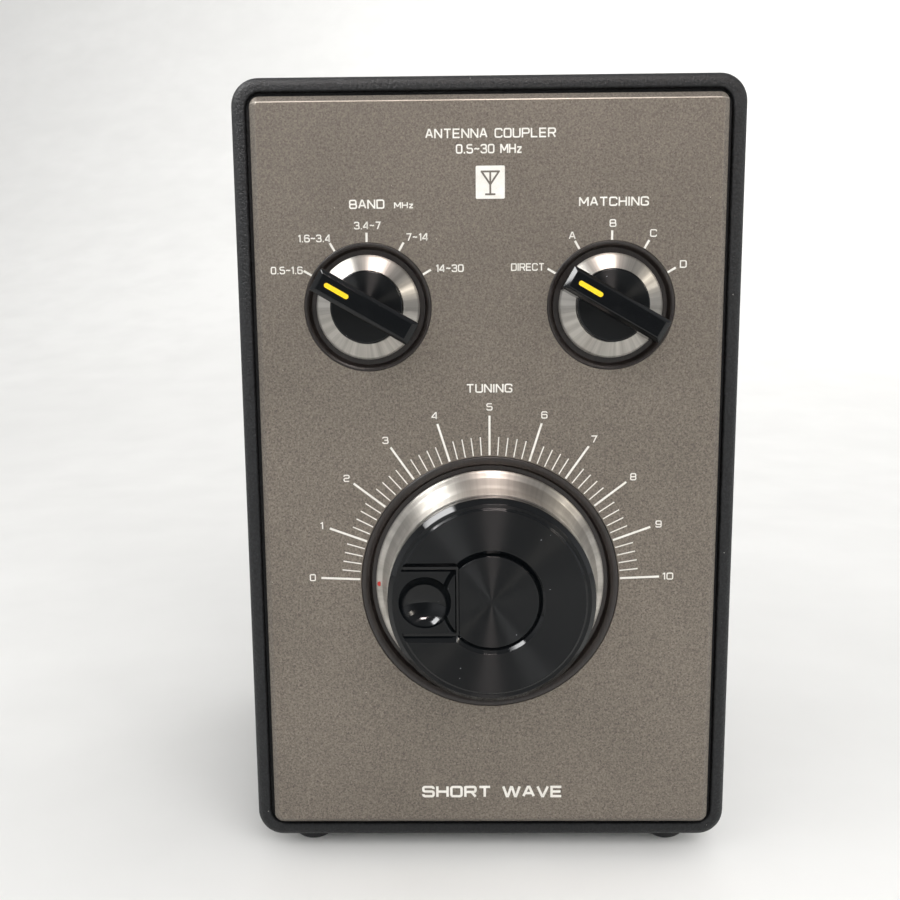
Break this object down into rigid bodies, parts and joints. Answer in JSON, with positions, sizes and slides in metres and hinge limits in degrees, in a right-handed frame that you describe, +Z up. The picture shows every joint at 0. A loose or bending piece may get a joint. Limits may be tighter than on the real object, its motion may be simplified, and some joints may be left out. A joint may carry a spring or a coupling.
{
  "type": "antenna tuner",
  "caption": "Upright cabinet with rotary selectors and a large tuning knob that match a wire or coaxial antenna to a receiver.",
  "frame": {"origin": "centre of the bounding box on the plane that the feet stand on", "axes": "+Z up, -Y out of the front panel, +X to the right seen from the front"},
  "size_m": [0.12, 0.1412, 0.193],
  "materials": {
    "black_case": "fine-grain textured black paint",
    "black_plate": "satin black paint on sheet steel",
    "bronze_panel": "bronze metallic speckled paint",
    "dish_plastic": "satin brown-black moulding",
    "zinc_steel": "zinc plated",
    "nickel": "nickel plated",
    "rubber": "matt black",
    "brass": "machined",
    "silvered_brass": "silver plated contact metal",
    "steatite": "unglazed",
    "vane_aluminium": "rolled sheet",
    "phenolic": "phenolic laminate",
    "dipped_mica": "resin dipped",
    "copper": "enamelled copper wire",
    "ferrite": "sintered ferrite",
    "socket_resin": "moulded insulator",
    "black_plastic": "moulded",
    "red_plastic": "moulded",
    "knob_aluminium": "turned, clear anodised",
    "knob_black": "polished moulding with a spun face",
    "red_paint": "paint fill",
    "yellow_paint": "paint fill"
  },
  "bodies": {
    "case": {"cabinet_sleeve": "black_case", "front_bezel": "black_case", "front_panel": "bronze_panel", "tuning_dish": "dish_plastic", "band_dish": "dish_plastic", "matching_dish": "dish_plastic", "sub_panel": "zinc_steel", "tie_bars": "zinc_steel", "rear_panel": "black_plate", "chassis_screws": "zinc_steel", "rear_screws": "nickel", "feet": "rubber", "foot_screws": "nickel", "tuning_bushing": "brass", "panel_nuts": "nickel", "capacitor_frame": "zinc_steel", "capacitor_spacers": "brass", "capacitor_insulators": "steatite", "capacitor_stator": "vane_aluminium", "band_switch_frame": "zinc_steel", "band_switch_wafers": "phenolic", "matching_switch_frame": "zinc_steel", "matching_switch_wafers": "phenolic", "switch_rods": "zinc_steel", "switch_lugs": "silvered_brass", "circuit_board": "phenolic", "board_spacers": "zinc_steel", "board_capacitors": "dipped_mica", "coil_forms": "steatite", "low_coil_winding": "copper", "high_coil_winding": "copper", "balun_core": "ferrite", "balun_winding": "copper", "internal_leads": "copper", "socket_shells": "nickel", "socket_insulators": "socket_resin", "socket_contacts": "silvered_brass", "terminal_block": "black_plastic", "terminal_springs": "zinc_steel", "ground_post": "nickel"},
    "tuning": {"tuning_skirt": "knob_aluminium", "tuning_cap": "knob_black", "tuning_index_dot": "red_paint", "tuning_shaft": "zinc_steel", "shaft_coupling": "steatite", "capacitor_rotor": "vane_aluminium"},
    "band_selector": {"band_knob": "knob_black", "band_ring": "knob_aluminium", "band_inlay": "yellow_paint", "band_shaft": "zinc_steel", "band_switch_rotor": "silvered_brass"},
    "matching_selector": {"matching_knob": "knob_black", "matching_ring": "knob_aluminium", "matching_inlay": "yellow_paint", "matching_shaft": "zinc_steel", "matching_switch_rotor": "silvered_brass"},
    "red_lever": {"terminal_lever_red": "red_plastic"},
    "black_lever": {"terminal_lever_black": "black_plastic"},
    "ground_clamp": {"ground_washer": "nickel"},
    "ground_nut": {"thumb_nut": "nickel"}
  },
  "joints": [
    {"name": "tuning_turn", "type": "hinge", "parent": "case", "child": "tuning", "pos_m": [0, -0.05495, 0.073], "axis": [0, 1, 0], "range_deg": [0, 180]},
    {"name": "band_turn", "type": "hinge", "parent": "case", "child": "band_selector", "pos_m": [-0.0285, -0.05495, 0.14], "axis": [0, 1, 0], "range_deg": [0, 120]},
    {"name": "matching_turn", "type": "hinge", "parent": "case", "child": "matching_selector", "pos_m": [0.0285, -0.05495, 0.14], "axis": [0, 1, 0], "range_deg": [0, 120]},
    {"name": "red_lever_press", "type": "hinge", "parent": "case", "child": "red_lever", "pos_m": [0.0095, 0.06325, 0.1002], "axis": [1, 0, 0], "range_deg": [0, 15], "stiffness_Nm_per_rad": 0.02},
    {"name": "black_lever_press", "type": "hinge", "parent": "case", "child": "black_lever", "pos_m": [-0.0095, 0.06325, 0.1002], "axis": [1, 0, 0], "range_deg": [0, 15], "stiffness_Nm_per_rad": 0.02},
    {"name": "ground_clamp_slide", "type": "slide", "parent": "case", "child": "ground_clamp", "axis": [0, 1, 0], "range_m": [0, 0.0022]},
    {"name": "ground_nut_turn", "type": "hinge", "parent": "ground_clamp", "child": "ground_nut", "pos_m": [0, 0.06205, 0.062], "axis": [0, 1, 0], "range_deg": [0, 1080]}
  ],
  "couplings": [
    {"joint": "ground_clamp_slide", "follows": "ground_nut_turn", "m_per_rad": 0.00011141}
  ]
}
